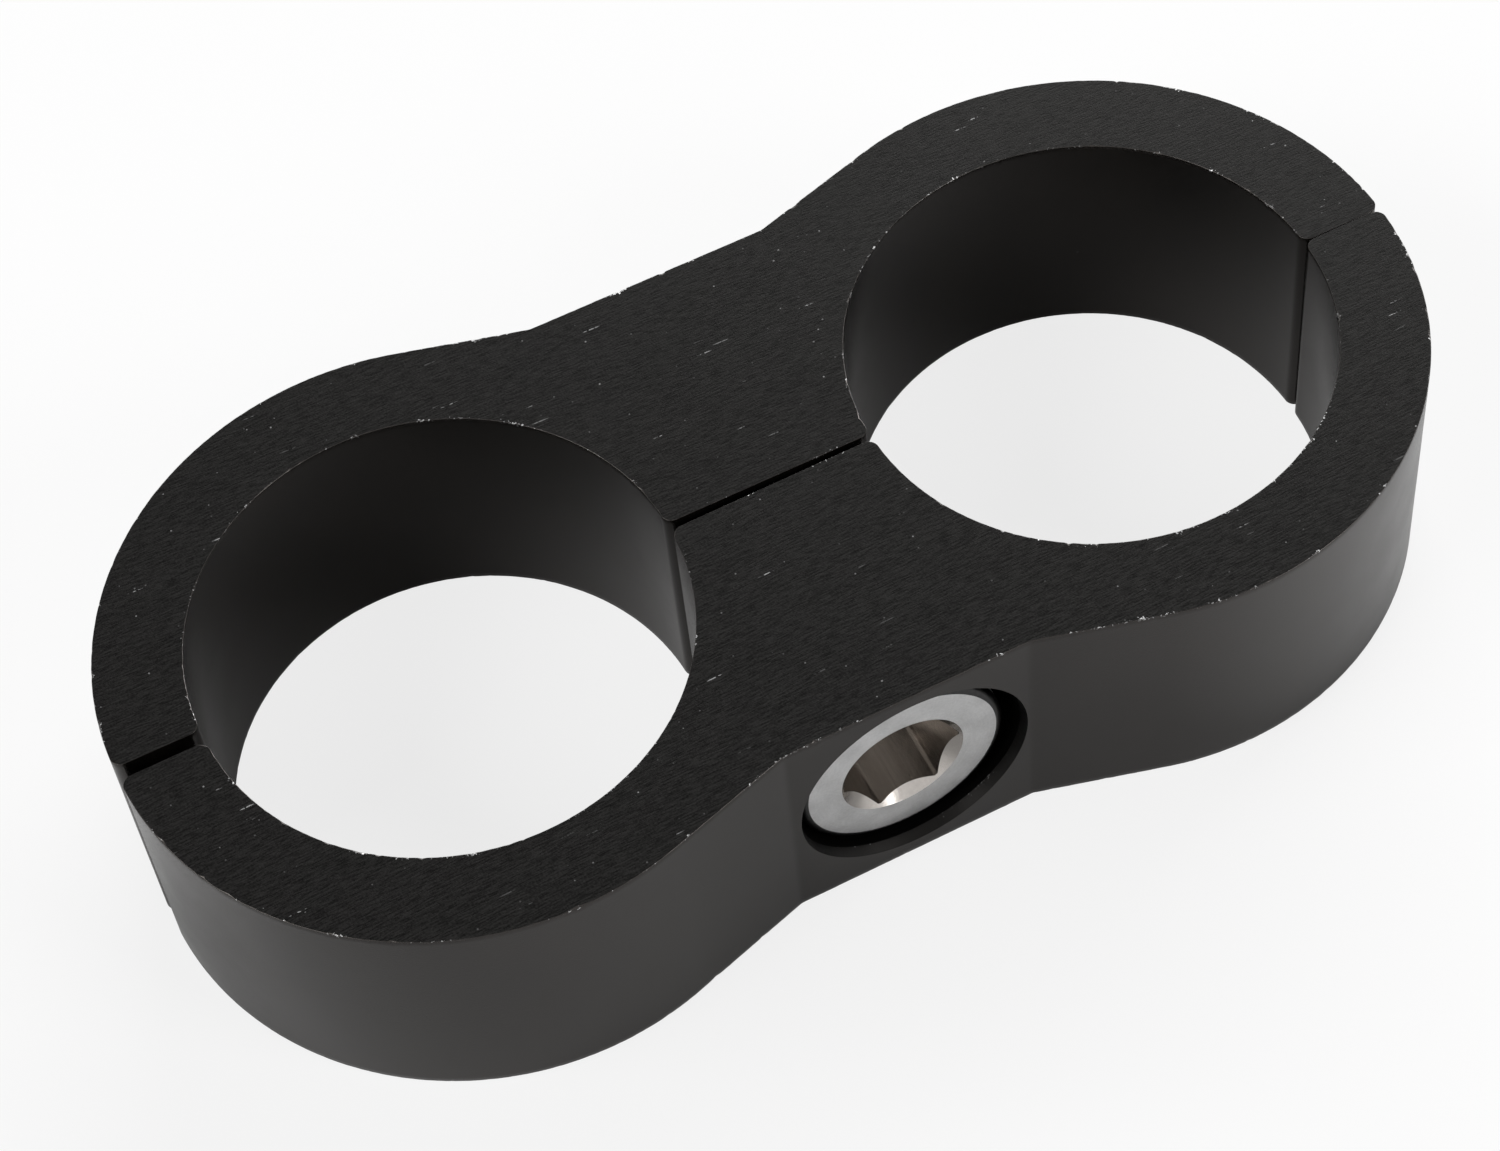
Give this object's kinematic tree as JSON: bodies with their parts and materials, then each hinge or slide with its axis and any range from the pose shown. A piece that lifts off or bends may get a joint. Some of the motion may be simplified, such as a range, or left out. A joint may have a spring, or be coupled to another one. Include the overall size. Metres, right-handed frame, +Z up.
{
  "type": "hydraulic tube clamp",
  "caption": "Figure-of-eight split clamp that holds parallel hydraulic tubes side by side, drawn together by a recessed socket head cap screw.",
  "frame": {"origin": "on the underside, at the middle of the clamp, between the bores", "axes": "+X from the left bore to the right bore, +Y from the half with the screw's head to the tapped half, +Z up along the bores"},
  "size_m": [0.062, 0.0305, 0.0127],
  "materials": {
    "black_anodised_aluminium": "satin black anodised",
    "stainless_steel": "satin"
  },
  "bodies": {
    "back": {"back_half": "black_anodised_aluminium"},
    "front": {"front_half": "black_anodised_aluminium"},
    "screw": {"cap_screw": "stainless_steel"}
  },
  "joints": [
    {"name": "front_slide", "type": "slide", "parent": "back", "child": "front", "axis": [0, -1, 0], "range_m": [0, 0.01]},
    {"name": "screw_turn", "type": "hinge", "parent": "front", "child": "screw", "pos_m": [0, 0, 0.00635], "axis": [0, -1, 0], "range_deg": [0, 3600]}
  ],
  "couplings": [
    {"joint": "screw_turn", "follows": "front_slide", "rad_per_m": 6283.2}
  ]
}
